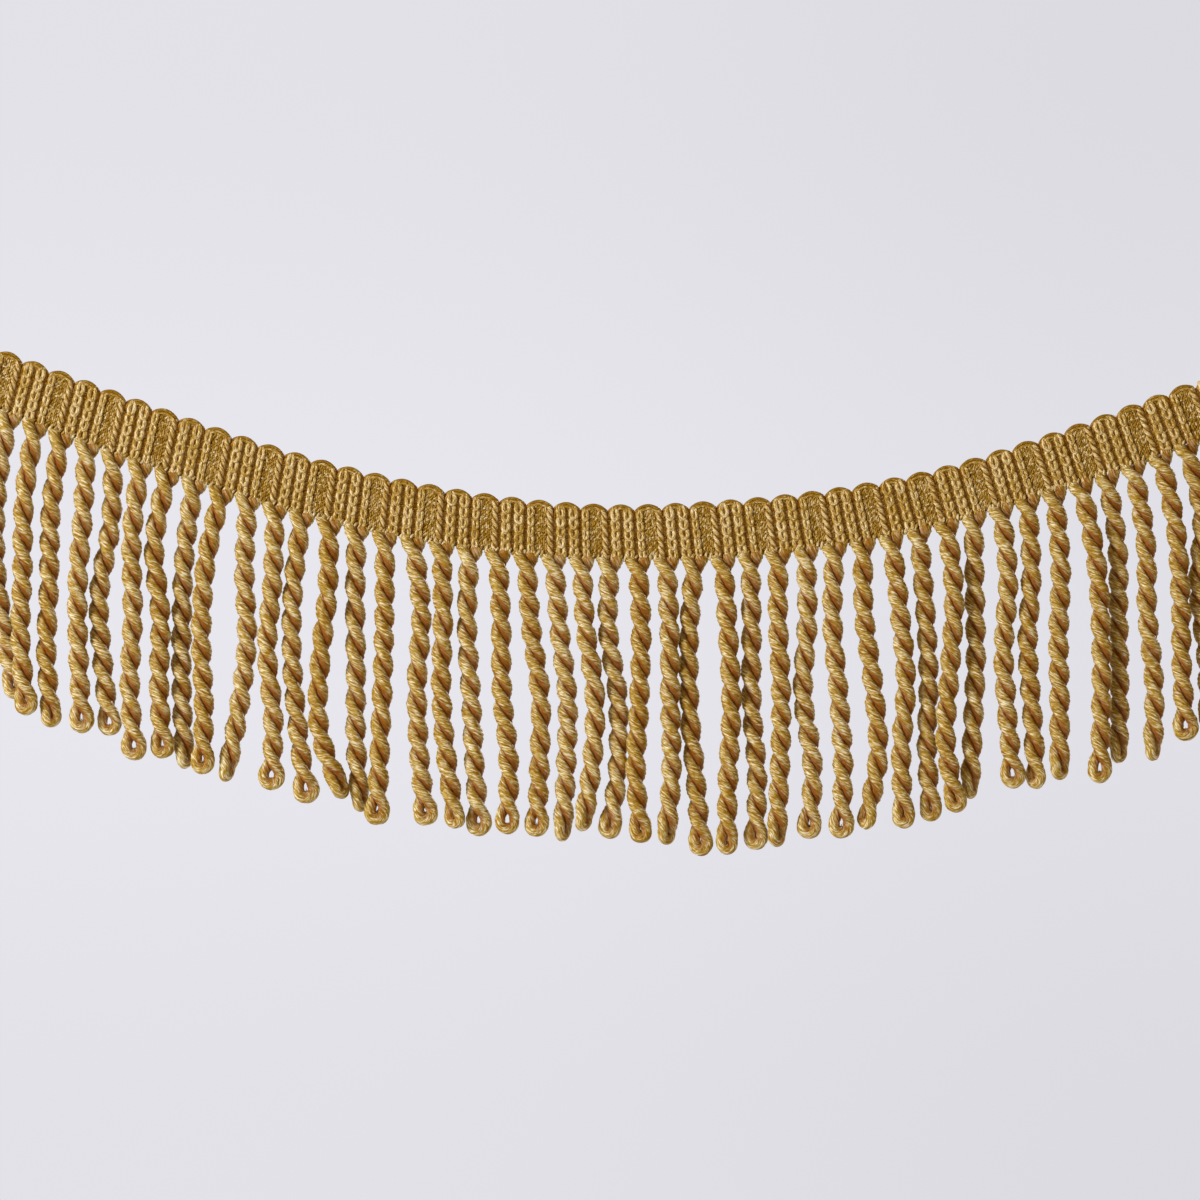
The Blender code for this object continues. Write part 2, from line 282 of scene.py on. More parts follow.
class Yarn:
    """Collects strands of yarn into one mesh. Each point also holds its place in the yarn's
    own space, in mm, how deep its painted shade is, in creases and recesses, and how light its strand
    is."""

    def __init__(self):
        self.points = []
        self.faces = []
        self.places = []
        self.tones = []
        self.count = 0

    def add_rings(self, rings, places, painted_shade, light):
        """Joins rings of points into one closed strand."""
        rows, sides = rings.shape[:2]
        index = np.arange(rows * sides).reshape(rows, sides) + self.count
        beside = np.roll(index, -1, axis=1)
        quads = np.stack((index[:-1], index[1:], beside[1:], beside[:-1]), -1)
        self.faces += quads.reshape(-1, 4).tolist()
        self.faces.append(index[0].tolist())
        self.faces.append(index[-1][::-1].tolist())
        self.points.append(rings.reshape(-1, 3))
        self.places.append(places.reshape(-1, 3))
        tones = np.stack((painted_shade, np.full_like(painted_shade, light), np.zeros_like(painted_shade)), -1)
        self.tones.append(tones.reshape(-1, 3))
        self.count += rows * sides

    def finish(self, name, material, slot, node):
        """Makes the piece, which rides on the root and stands for a solid."""
        mesh = bpy.data.meshes.new(name)
        mesh.from_pydata(np.concatenate(self.points).tolist(), [], self.faces)
        for label, values in (("yarn", self.places), ("tone", self.tones)):
            layer = mesh.attributes.new(label, "FLOAT_VECTOR", "POINT")
            layer.data.foreach_set("vector", np.concatenate(values).ravel())
        mesh.polygons.foreach_set("use_smooth", np.ones(len(mesh.polygons), bool))
        mesh.materials.append(material)
        mesh.update()
        piece = bpy.data.objects.new(name, mesh)
        bpy.context.collection.objects.link(piece)
        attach(piece, "root")
        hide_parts(node)
        return piece


def sweep(
    yarn, path, outward, reach, profile, turn=0.0, light=0.5, painted_shade=0.0, skew=0.0, start=0.0
):
    """Adds one strand along a path. reach holds how far it reaches outwards, inwards and
    sideways from the path, profile its lobes, and turn their angle at each ring. light is its
    tone and painted_shade its painted shade, skew leans the painted shade on its inner side to
    one flank, and start is where its yarn's own space begins."""
    out_reach, in_reach, side_reach = (np.broadcast_to(r, len(path)) for r in reach)
    out, side = directions_along(path, outward)
    column = 2 * np.pi * np.arange(profile.shape[-1]) / profile.shape[-1]
    angle = column[None, :] + np.broadcast_to(turn, len(path))[:, None]
    cosine, sine = np.cos(angle), np.sin(angle)
    radial = np.where(cosine > 0, out_reach[:, None], in_reach[:, None])
    rings = (
        path[:, None]
        + out[:, None] * (cosine * radial * profile)[..., None]
        + side[:, None] * (sine * side_reach[:, None] * profile)[..., None]
    )
    along = start + lengths_along(path)
    radius = np.mean(side_reach)
    places = np.stack(
        np.broadcast_arrays(
            np.cos(column)[None, :] * radius, np.sin(column)[None, :] * radius, along[:, None]
        ),
        -1,
    )
    # Painted shade: deeper on the side the strand turns to its neighbour and in the grooves between
    # its yarns
    inner = ease(*PAINTED_SHADE_SPAN, skew * sine - cosine)
    depth = painted_shade + inner + GROOVE_PAINTED_SHADE * (profile < LOBE_EDGE)
    yarn.add_rings(rings, places / MM, np.clip(depth, 0, 1), light)


def lobed(lobes, points_per_lobe, groove):
    """The profile of a strand made of several smaller yarns, with a groove between them."""
    profile = np.ones(lobes * points_per_lobe)
    profile[::points_per_lobe] -= groove
    return profile


class Nodes:
    """Shorthand for making the nodes of a material or a world."""

    def __init__(self, owner, shader):
        owner.use_nodes = True
        self.tree = owner.node_tree
        self.shader = self.tree.nodes[shader]

    def add(self, kind, **settings):
        node = self.tree.nodes.new(kind)
        for name, value in settings.items():
            setattr(node, name, value)
        return node

    def link(self, source, target):
        self.tree.links.new(source, target)

    def fill(self, socket, value):
        """Links a socket or sets a number or a colour."""
        if isinstance(value, bpy.types.NodeSocket):
            self.link(value, socket)
        elif isinstance(value, tuple):
            socket.default_value = (*value, 1.0)
        else:
            socket.default_value = value

    def math(self, operation, *values):
        node = self.add("ShaderNodeMath", operation=operation)
        for socket, value in zip(node.inputs, values):
            self.fill(socket, value)
        return node.outputs[0]

    def axes(self, vector):
        node = self.add("ShaderNodeSeparateXYZ")
        self.link(vector, node.inputs[0])
        return node.outputs

    def noise(self, vector, stretch, scale):
        mapping = self.add("ShaderNodeMapping")
        mapping.inputs["Scale"].default_value = stretch
        self.link(vector, mapping.inputs["Vector"])
        noise = self.add("ShaderNodeTexNoise")
        noise.inputs["Scale"].default_value = scale
        noise.inputs["Detail"].default_value = NOISE_DETAIL
        self.link(mapping.outputs[0], noise.inputs["Vector"])
        return noise.outputs["Fac"]

    def step(self, value, low, high, start=0.0, end=1.0):
        """A smooth step from start to end, while the value goes from low to high."""
        node = self.add("ShaderNodeMapRange", interpolation_type="SMOOTHSTEP")
        node.inputs["From Min"].default_value = low
        node.inputs["From Max"].default_value = high
        node.inputs["To Min"].default_value = start
        node.inputs["To Max"].default_value = end
        self.link(value, node.inputs["Value"])
        return node.outputs[0]

    def ramp(self, value, places, colours):
        node = self.add("ShaderNodeValToRGB")
        elements = node.color_ramp.elements
        while len(elements) < len(places):
            elements.new(1.0)
        for element, place, colour in zip(elements, places, colours):
            element.position = place
            element.color = (*colour, 1.0)
        self.link(value, node.inputs[0])
        return node.outputs[0]

    def mix(self, factor, first, second):
        """A blend of two colours."""
        node = self.add("ShaderNodeMix", data_type="RGBA", blend_type="MIX")
        self.fill(node.inputs[0], factor)
        self.fill(node.inputs[6], first)
        self.fill(node.inputs[7], second)
        return node.outputs[2]


# How a yarn's surface is mixed. Both noises are drawn out along the strand, the streaks more so
SPECKLE_STRETCH = (1.0, 1.0, 0.45)
STREAK_STRETCH = (1.0, 1.0, 0.2)
STREAK_FINER = 1.7
NOISE_DETAIL = 3.0

# A point's tone is the sum of these shares, less the shift. The yarn is dark, middling and
# bright at three tones, and the painted crease shade covers most of that
SPECKLE_SHARE = 0.65
STREAK_SHARE = 0.55
LIGHT_SHARE = 0.22
RIDGE_SHARE = 0.02
TONE_SHIFT = 0.21
TONES = (0.36, 0.50, 0.63)
PAINTED_SHADE_SHARE = 0.92

# The satin gloss is warm, and keenest where the speckle is bright
SATIN_TINT = (1.0, 0.90, 0.50)
ROUGHEST = 0.60
SPECKLE_GLOSS = -0.4
RIDGE_HEIGHT = 0.25
BUMP_STRENGTH = 0.7
BUMP_DISTANCE = 0.00016


def yarn_material(name, dark, middle, bright, painted_shade_colour, fibres, slant, fineness, gloss):
    """Satin yarn: streaks of lighter and darker fibre that run round the strand at a slant,
    partly painted glints and shade, and a painted red-brown shade deep in the creases."""
    material = bpy.data.materials.new(name)
    nodes = Nodes(material, "Principled BSDF")
    yarn = nodes.add("ShaderNodeAttribute", attribute_name="yarn").outputs["Vector"]
    tone = nodes.add("ShaderNodeAttribute", attribute_name="tone").outputs["Vector"]
    place = nodes.axes(yarn)
    painted_shade, light, _ = nodes.axes(tone)

    # Fibres: fine ridges that wind round the strand
    angle = nodes.math("ARCTAN2", place[1], place[0])
    wound = nodes.math("MULTIPLY", angle, float(fibres))
    ridges = nodes.math("SINE", nodes.math("MULTIPLY_ADD", place[2], slant, wound))

    # Speckle and streaks: short and longer stretches of lighter and darker fibre, partly the fibre's
    # own tone and partly painted glint and painted shade
    speckle = nodes.noise(yarn, SPECKLE_STRETCH, fineness)
    streak = nodes.noise(yarn, STREAK_STRETCH, fineness * STREAK_FINER)
    speckled = nodes.math("MULTIPLY", speckle, SPECKLE_SHARE)
    blended = nodes.math("MULTIPLY_ADD", streak, STREAK_SHARE, speckled)
    shifted = nodes.math("SUBTRACT", blended, TONE_SHIFT)
    lifted = nodes.math("MULTIPLY_ADD", light, LIGHT_SHARE, shifted)
    lined = nodes.math("MULTIPLY_ADD", ridges, RIDGE_SHARE, lifted)
    colour = nodes.ramp(lined, TONES, (dark, middle, bright))
    # Painted shade: the colour is mixed towards the red-brown painted shade colour by the painted
    # shade each point holds
    shaded = nodes.mix(nodes.math("MULTIPLY", painted_shade, PAINTED_SHADE_SHARE), colour, painted_shade_colour)
    nodes.link(shaded, nodes.shader.inputs["Base Color"])

    roughness = nodes.math("MULTIPLY_ADD", speckle, SPECKLE_GLOSS, ROUGHEST)
    nodes.link(roughness, nodes.shader.inputs["Roughness"])
    fibrous = nodes.math("ADD", streak, speckle)
    bump = nodes.add("ShaderNodeBump")
    bump.inputs["Strength"].default_value = BUMP_STRENGTH
    bump.inputs["Distance"].default_value = BUMP_DISTANCE
    nodes.link(nodes.math("MULTIPLY_ADD", ridges, RIDGE_HEIGHT, fibrous), bump.inputs["Height"])
    nodes.link(bump.outputs[0], nodes.shader.inputs["Normal"])
    nodes.shader.inputs["Specular IOR Level"].default_value = gloss
    nodes.shader.inputs["Specular Tint"].default_value = (*SATIN_TINT, 1.0)
    return material


def cord_strand(cord, middle_pitch, rng):
    """One cord's strand: down one leg, round the eye and up the other leg. Gives its path, its
    outer directions, how far it reaches inwards and sideways, its painted shade, and the lean of the
    painted shade on its inner side."""
    root = rib(middle_pitch)[0]
    before, after = rib(middle_pitch - 0.5)[0], rib(middle_pitch + 0.5)[0]
    edge_slope = (after[2] - before[2]) / (after[0] - before[0])
    drop = cord.drop * MM
    eye_radius = cord.eye_width * MM / 2 - PLY_OUT
    equator = drop - PLY_OUT - eye_radius
    settles = drop - TWIST_SETTLES
    sway = (0, cord.quarter, cord.half, cord.three_quarters, cord.tip)
    forward = (0, cord.forward, cord.forward)

    def centre(below):
        down = np.maximum(below / drop, 0)
        x = root[0] + smooth(SWAY_STATIONS, sway, down) * MM
        y = -ROOT_DEPTH - smooth(FORWARD_STATIONS, forward, down) * MM
        return np.stack((x, y, root[2] - below), -1)

    eye_turn = math.radians(cord.eye_degrees * EYE_TURN_SHARE)
    half_turns = settles / HALF_TURN_LENGTH + (SETTLING_TURN - eye_turn) / math.pi
    full_turn = math.pi * round(half_turns + stray(rng, HALF_TURNS_STRAY)) + eye_turn
    unevenness = rng.uniform(-TWIST_STRAY, TWIST_STRAY, TWIST_WAVES)

    def twist(below):
        share = np.clip(below / settles, 0, 1)
        uneven = sum(w * np.sin(np.pi * (n + 1) * share) for n, w in enumerate(unevenness))
        rest = 1 - np.clip((below - settles) / (equator - settles), 0, 1)
        return (full_turn - SETTLING_TURN) * share + uneven + SETTLING_TURN * (1 - rest**2)

    def directions(below):
        """Across the two plies, and down the cord."""
        along = unit(centre(below + SLOPE_STEP) - centre(below - SLOPE_STEP))
        front = unit(FRONT - along * (along @ FRONT)[:, None])
        right = np.cross(front, along)
        angle = twist(below)[:, None]
        return right * np.cos(angle) - front * np.sin(angle), along

    leg = np.linspace(-ROOT_HIDDEN, equator, LEG_RINGS)
    wide, down = directions(leg)
    in_root = 1 - ease(0, ROOT_END, leg)
    in_eye = ease(drop - LEGS_PART, min(drop - LEGS_APART, equator), leg)
    spread = PLY_OFFSET + (ROOT_OFFSET - PLY_OFFSET) * in_root + (eye_radius - PLY_OFFSET) * in_eye
    inwards = spread + PLY_OVERLAP - (cord.hole_width * MM / 2 + PLY_OVERLAP) * in_eye
    sideways = PLY_SIDE - PLY_SIDE_LOSS * in_eye - PLY_SIDE_LOSS * in_root
    middle = centre(leg)
    left = middle - wide * spread[:, None]
    right = middle + wide * spread[:, None]
    tilt = edge_slope * wide[:, 0] * spread * in_root
    left[:, 2] -= tilt
    right[:, 2] += tilt

    bend_angle = np.linspace(0, np.pi, BEND_RINGS + 2)[1:-1]
    spoke = -wide[-1] * np.cos(bend_angle)[:, None] + down[-1] * np.sin(bend_angle)[:, None]
    bend = middle[-1] + spoke * eye_radius
    bend_inwards = inwards[-1] * (1 + BEND_SWELL * np.sin(bend_angle))

    path = np.concatenate((left, bend, right[::-1]))
    outward = np.concatenate((-wide, spoke, wide[::-1]))
    inwards = np.concatenate((inwards, bend_inwards, inwards[::-1]))
    sideways = np.concatenate((sideways, np.full(BEND_RINGS, sideways[-1]), sideways[::-1]))
    # Painted shade: lifted at the root and in the eye, and leaning to opposite flanks on the two legs
    leg_shade = -ROOT_LIFTS_PAINTED_SHADE * in_root - EYE_LIFTS_PAINTED_SHADE * in_eye
    shade = np.concatenate((leg_shade, np.full(BEND_RINGS, leg_shade[-1]), leg_shade[::-1]))
    lean = np.concatenate((1 - in_eye, np.zeros(BEND_RINGS), in_eye[::-1] - 1)) * PAINTED_SHADE_SKEW
    return path, outward, inwards, sideways, shade, lean


def uneven_lobes(along, rng):
    """The lobes of a ply's yarns, each a little thicker in some places than in others."""
    profile = lobed(COMPONENT_YARNS, POINTS_PER_YARN, YARN_GROOVE)
    swell = np.zeros((len(along), COMPONENT_YARNS))
    for wave_length in UNEVEN_WAVES:
        phase = rng.uniform(0, 2 * np.pi, COMPONENT_YARNS)
        swell += np.sin(2 * np.pi * along[:, None] / wave_length + phase)
    return profile + UNEVEN_SWELL * np.repeat(swell, POINTS_PER_YARN, axis=1)


def build_cords(material):
    """One piece for each cord."""
    rng = np.random.default_rng(SEED)
    pieces = []
    for index, row in enumerate(CORDS):
        middle_pitch = FIRST_PITCH + index + 0.5
        path, outward, inwards, sideways, shade, lean = cord_strand(Cord(*row), middle_pitch, rng)
        along = lengths_along(path)
        yarn = Yarn()
        sweep(
            yarn,
            path,
            outward,
            (PLY_OUT, inwards, sideways),
            uneven_lobes(along, rng),
            turn=along * YARN_TURNS_PER_METRE * 2 * np.pi + rng.uniform(0, 2 * np.pi),
            light=rng.uniform(*CORD_LIGHT),
            painted_shade=shade[:, None],
            skew=lean[:, None],
            start=rng.uniform(0, CORD_START),
        )
        pieces.append(yarn.finish(f"cord_{index + 1:02d}", material, "cord_yarn", "skirt"))
    return pieces


def plain_strand(yarn, path, radius, sides, rng, light, painted_shade=0.0, outward=FRONT):
    """A single round strand of the heading."""
    sweep(
        yarn,
        path,
        outward,
        (radius, radius, radius),
        np.ones(sides),
        light=light,
        painted_shade=painted_shade,
        start=rng.uniform(0, STITCH_START),
    )


def wale_span(pitch):
    """The heights between which a wale runs."""
    _, _, height = rib(pitch)
    return WALE_FOOT, float(height) - float(scallop_drop(np.array(pitch))) - WALE_TOP_GAP


# One chain stitch, from the middle of its foot up one leg: sideways as a share of the wale's
# half width, height as a share of a course from the stitch's middle, and depth in mm
CHAIN_SIDE = (0.0, 0.58, 0.98, 0.92, 0.60, 0.30)
CHAIN_RISE = (-0.60, -0.50, -0.16, 0.18, 0.46, 0.66)
CHAIN_DEPTH = (1.55, 1.52, 1.42, 1.32, 1.05, 0.70)
CHAIN_LEG_POINTS = 8
CHAIN_SIDES = 8

# The wales of the ribbed panels are thicker than those of the flat ones. Their stitches differ
# a little in width, place, lean and light
Chain = namedtuple("Chain", "half_width radius")
RIBBED_CHAIN = Chain(0.00077, 0.00062)
FLAT_CHAIN = Chain(0.00054, 0.00050)
CHAIN_WIDTHS = (0.9, 1.1)
CHAIN_RISE_STRAY = 0.00008
CHAIN_LEAN_STRAY = 0.00010
CHAIN_LIGHT = 0.6
CHAIN_LIGHT_STRAY = 0.15

# The yarn that is laid in behind the stitches of a wale, painted partly in shade
INLAY_DEPTH = 0.00105
INLAY_RADIUS = 0.00042
INLAY_SIDES = 6
INLAY_LIGHT = 0.3
INLAY_PAINTED_SHADE = 0.35


def chain_wale(yarn, pitch, chain, rng):
    """A column of chain stitches: each hangs its rounded foot over the next one's legs."""
    low, high = wale_span(pitch)
    course = (high - low) / COURSES
    stations = np.arange(len(CHAIN_SIDE))
    at = np.linspace(0, len(CHAIN_SIDE) - 1, CHAIN_LEG_POINTS)
    side = smooth(stations, CHAIN_SIDE, at)
    rise = smooth(stations, CHAIN_RISE, at)
    depth = smooth(stations, CHAIN_DEPTH, at)
    side = np.concatenate((-side[:0:-1], side))
    rise = np.concatenate((rise[:0:-1], rise))
    depth = np.concatenate((depth[:0:-1], depth))
    inlay = on_heading(pitch, np.linspace(low, high, 2 * COURSES + 1), INLAY_DEPTH)
    plain_strand(yarn, inlay, INLAY_RADIUS, INLAY_SIDES, rng, INLAY_LIGHT, INLAY_PAINTED_SHADE)
    for number in range(COURSES):
        middle = low + course * (number + 0.5) + stray(rng, CHAIN_RISE_STRAY)
        width = chain.half_width * rng.uniform(*CHAIN_WIDTHS)
        lean = stray(rng, CHAIN_LEAN_STRAY)
        across = (side * width + lean * rise) / PITCH_LENGTH
        path = on_heading(pitch + across, middle + rise * course, depth * MM)
        light = CHAIN_LIGHT + stray(rng, CHAIN_LIGHT_STRAY)
        plain_strand(yarn, path, chain.radius, CHAIN_SIDES, rng, light)


# A rope wale: the shares are of its plies' radius
ROPE_DEPTH = 0.00120
ROPE_PAST_ENDS = 0.0003
ROPE_POINTS_PER_COURSE = 8
ROPE_HALF_TURN = 0.0022
ROPE_OFFSET = 0.00038
ROPE_RADIUS = 0.00050
ROPE_INWARDS_SHARE = 0.8
ROPE_SIDEWAYS_SHARE = 1.15
ROPE_SIDES = 7
ROPE_LIGHT = 0.65


def rope_wale(yarn, pitch, rng):
    """A wale of two plies twisted about each other."""
    low, high = wale_span(pitch)
    points = COURSES * ROPE_POINTS_PER_COURSE
    rise = np.linspace(high + ROPE_PAST_ENDS, low - ROPE_PAST_ENDS, points)
    path = on_heading(pitch, rise, ROPE_DEPTH)
    along = lengths_along(path)
    out, side = directions_along(path, FRONT)
    reach = (ROPE_RADIUS, ROPE_RADIUS * ROPE_INWARDS_SHARE, ROPE_RADIUS * ROPE_SIDEWAYS_SHARE)
    start = rng.uniform(0, math.pi)
    for ply in (0, math.pi):
        angle = (start + ply - along / ROPE_HALF_TURN * math.pi)[:, None]
        spoke = out * np.cos(angle) + side * np.sin(angle)
        sweep(
            yarn,
            path + spoke * ROPE_OFFSET,
            spoke,
            reach,
            np.ones(ROPE_SIDES),
            light=ROPE_LIGHT,
            start=rng.uniform(0, STITCH_START),
        )


# The flat part of a panel: columns and rows of strands, each longer than its row. Here and
# below, a length or a stray in steps is a share of the space that a strand has to itself
FIELD_COLUMNS = 6
FIELD_ROWS = 13
FIELD_TOP_GAP = 0.0005
FIELD_HALF_LENGTH_IN_STEPS = 0.66
FIELD_STRAY_IN_STEPS = 0.2
FIELD_LEAN = (-0.00012, 0.00042)
FIELD_DEPTH = 0.00112
FIELD_DIP = 0.00042
FIELD_DEPTH_STRAY = 0.00014
FIELD_RADIUS = 0.00031
FIELD_LIGHT = (-0.2, 0.75)


def slanted_field(yarn, left, right, rng):
    """The flat part of a panel: short strands that lean a little, in staggered columns."""
    low, high = wale_span((left + right) / 2)
    high -= FIELD_TOP_GAP
    step = (high - low) / FIELD_ROWS
    at = np.linspace(-1, 1, THIN_POINTS)
    for column in range(FIELD_COLUMNS):
        middle = left + (right - left) * (column + 0.5) / FIELD_COLUMNS
        stagger = 0.5 * (column % 2)
        for row in range(FIELD_ROWS + 1):
            rise = low + step * (row + stagger + stray(rng, FIELD_STRAY_IN_STEPS))
            rise = np.clip(rise + step * FIELD_HALF_LENGTH_IN_STEPS * at, low, high)
            lean = rng.uniform(*FIELD_LEAN) * at / PITCH_LENGTH
            depth = FIELD_DEPTH - FIELD_DIP * at**2 + stray(rng, FIELD_DEPTH_STRAY)
            path = on_heading(middle + lean, rise, depth)
            if np.ptp(rise) > step / 2:
                light = rng.uniform(*FIELD_LIGHT)
                plain_strand(yarn, path, FIELD_RADIUS, THIN_SIDES, rng, light)


# The floats on a flat part, from the second course up
FLOATS_PER_ROW = 4
FLOAT_POINTS = 4
FLOAT_STRAY_IN_STEPS = 0.2
FLOAT_RISE_STRAY = 0.00030
FLOAT_HALF_LENGTH = 0.00028
FLOAT_CLIMB = 0.00010
FLOAT_DEPTH = 0.00132
FLOAT_DIP = 0.00030
FLOAT_RADIUS = 0.00027
FLOAT_LIGHT = (0.2, 1.1)


def weft_rows(yarn, left, right, rng):
    """Rows of small bright floats that cross a flat part where two courses meet."""
    low, high = wale_span((left + right) / 2)
    at = np.linspace(-1, 1, FLOAT_POINTS)
    for course in range(2, COURSES):
        for number in range(FLOATS_PER_ROW):
            slot = number + 0.5 + stray(rng, FLOAT_STRAY_IN_STEPS)
            middle = left + (right - left) * slot / FLOATS_PER_ROW
            rise = low + (high - low) * course / COURSES + stray(rng, FLOAT_RISE_STRAY)
            across = FLOAT_HALF_LENGTH * at / PITCH_LENGTH
            depth = FLOAT_DEPTH - FLOAT_DIP * at**2
            path = on_heading(middle + across, rise + FLOAT_CLIMB * at, depth)
            light = rng.uniform(*FLOAT_LIGHT)
            plain_strand(yarn, path, FLOAT_RADIUS, THIN_SIDES, rng, light)


# The bars in the grooves, painted in shade: those in a notch between two panels are painted in
# deeper shade than those in the middle of a ribbed panel
GROOVE_WIDTH = 0.0011
NOTCH_SHADE = 0.6
MIDDLE_SHADE = 0.3
BAR_POINTS = 4
BAR_SIDES = 6
BAR_STRAY_IN_STEPS = 0.15
BAR_CLIMB = 0.00012
BAR_DEPTHS = (0.00060, 0.00095)
BAR_RADIUS = 0.00034
BAR_LIGHT = (0.1, 0.6)


def weft_bars(yarn, pitch, shade, rng):
    """Short strands that cross a groove between two wales."""
    low, high = wale_span(pitch)
    bars = 2 * COURSES
    at = np.linspace(-1, 1, BAR_POINTS)
    for bar in range(bars):
        slot = bar + 0.5 + stray(rng, BAR_STRAY_IN_STEPS)
        rise = low + (high - low) * slot / bars + BAR_CLIMB * at
        across = at * GROOVE_WIDTH / 2 / PITCH_LENGTH
        path = on_heading(pitch + across, rise, rng.uniform(*BAR_DEPTHS))
        plain_strand(yarn, path, BAR_RADIUS, BAR_SIDES, rng, rng.uniform(*BAR_LIGHT), shade)


# The two strands of a scallop, the outer one first. Each reaches half a width either way, less
# so many pitches for each metre of its inset. Towards its ends it dives, sinks back and is
# painted darker as shade, each over a span of its half; elsewhere its painted shade is lifted
Arc = namedtuple("Arc", "inset depth radius light")
ARCS = (Arc(0.00040, 0.00085, 0.00044, -0.1), Arc(0.00115, 0.00115, 0.00040, 0.3))
ARC_POINTS = 19
ARC_SIDES = 8
ARC_HALF_WIDTH = 0.49
ARC_SHORTENS = 12
ARC_DIVE = 0.0010
ARC_DIVE_SPAN = (0.88, 1.0)
ARC_SINK = 0.0003
ARC_SINK_SPAN = (0.8, 1.0)
ARC_PAINTED_SHADE = -0.6
ARC_END_PAINTED_SHADE = 1.5
ARC_PAINTED_SHADE_SPAN = (0.72, 0.95)
ARC_LIGHT_STRAY = 0.1


def scallop_arcs(yarn, scallop, rng):
    """Two strands that bow from notch to notch, one inside the other."""
    _, _, height = rib(float(scallop))
    at = np.linspace(-1, 1, ARC_POINTS)
    out = np.abs(at)
    for arc in ARCS:
        pitch = scallop + at * (ARC_HALF_WIDTH - arc.inset * ARC_SHORTENS)
        bow = SCALLOP_HEIGHT * at**2
        rise = height - arc.inset - bow - ARC_DIVE * ease(*ARC_DIVE_SPAN, out)
        path = on_heading(pitch, rise, arc.depth - ARC_SINK * ease(*ARC_SINK_SPAN, out))
        # Painted shade: lifted along the arc and deep towards its ends
        painted_shade = ARC_PAINTED_SHADE + ARC_END_PAINTED_SHADE * ease(*ARC_PAINTED_SHADE_SPAN, out)[:, None]
        light = arc.light + stray(rng, ARC_LIGHT_STRAY)
        plain_strand(yarn, path, arc.radius, ARC_SIDES, rng, light, painted_shade)


# The stitches that hold the cords' roots
FOOT_STITCHES_PER_PITCH = 6
FOOT_STRAY_IN_STEPS = 0.2
FOOT_LEAN = (0.00020, 0.00055)
FOOT_RISE = 0.00080
FOOT_HALF_HEIGHT = (0.00060, 0.00080)
FOOT_DEPTH = 0.00175
FOOT_DIP = 0.00075
FOOT_STRAY = 0.0001
FOOT_RADIUS = (0.00034, 0.00044)
FOOT_POINTS = 7
FOOT_SIDES = 7
FOOT_LIGHT = (0.2, 1.2)


def foot_row(yarn, rng):
    """The row of stitches along the heading's lower edge, which holds the cords' roots."""
    at = np.linspace(-1, 1, FOOT_POINTS)
    for stitch in range(FOOT_STITCHES_PER_PITCH * (LAST_PITCH - FIRST_PITCH)):
        share = (stitch + 0.5 + stray(rng, FOOT_STRAY_IN_STEPS)) / FOOT_STITCHES_PER_PITCH
        lean = rng.uniform(*FOOT_LEAN) * at / PITCH_LENGTH
        rise = FOOT_RISE + rng.uniform(*FOOT_HALF_HEIGHT) * at + stray(rng, FOOT_STRAY)
        depth = FOOT_DEPTH - FOOT_DIP * at**2 + stray(rng, FOOT_STRAY)
        path = on_heading(FIRST_PITCH + share + lean, rise, depth)
        radius = rng.uniform(*FOOT_RADIUS)
        plain_strand(yarn, path, radius, FOOT_SIDES, rng, rng.uniform(*FOOT_LIGHT))


# The weft on the back, whose floats bow away from the heading, and the wales' backs
LACE_FLOATS = 2 * COURSES + 3
LACE_RISE_STRAY = 0.00012
LACE_DEPTH = 0.00020
LACE_BOW = 0.00012
LACE_DEPTH_STRAY = 0.00005
LACE_RADIUS = 0.00043
LACE_LIGHT = (0.2, 0.8)
BACK_HALF_LENGTH_IN_STEPS = 0.62
BACK_STRAY_IN_STEPS = 0.1
BACK_LEAN_STRAY = 0.00012
BACK_DEPTH = -0.00008
BACK_DIP = 0.00022
BACK_RADIUS = 0.00032
BACK_LIGHT = (0.5, 1.0)


def back_floats(yarn, left, right, rng):
    """The weft on the heading's back, which laces to and fro between two wales."""
    low, high = wale_span((left + right) / 2)
    step = (high - low) / LACE_FLOATS
    at = np.linspace(0, 1, THIN_POINTS)
    for number in range(LACE_FLOATS):
        left_rise = low + step * 2 * ((number + 1) // 2)
        right_rise = low + step * (2 * (number // 2) + 1)
        rise = left_rise + (right_rise - left_rise) * at + stray(rng, LACE_RISE_STRAY)
        depth = LACE_DEPTH - LACE_BOW * np.sin(np.pi * at) + stray(rng, LACE_DEPTH_STRAY)
        path = on_heading(left + (right - left) * at, rise, depth)
        light = rng.uniform(*LACE_LIGHT)
        plain_strand(yarn, path, LACE_RADIUS, THIN_SIDES, rng, light, outward=-FRONT)


def back_stitches(yarn, pitch, rng):
    """The back of a wale: one short upright stitch after another."""
    low, high = wale_span(pitch)
    stitches = 2 * COURSES
    step = (high - low) / stitches
    at = np.linspace(-1, 1, THIN_POINTS)
    for number in range(stitches):
        reach = BACK_HALF_LENGTH_IN_STEPS * at
        rise = low + step * (number + 0.5 + reach + stray(rng, BACK_STRAY_IN_STEPS))
        lean = stray(rng, BACK_LEAN_STRAY) * at / PITCH_LENGTH
        path = on_heading(pitch + lean, rise, BACK_DEPTH + BACK_DIP * at**2)
        light = rng.uniform(*BACK_LIGHT)
        plain_strand(yarn, path, BACK_RADIUS, THIN_SIDES, rng, light, outward=-FRONT)


# The tape under the stitches, which is painted in deeper shade on its front than on its back
TAPE_COLUMNS_PER_PITCH = 12
TAPE_ROWS = 8
TAPE_FRONT = 0.0009
TAPE_BACK = 0.0003
TAPE_FOOT = 0.0004
TAPE_TOP_GAP = 0.0006
TAPE_PAINTED_SHADES = (0.55, 0.30)
TAPE_LIGHT = 0.45


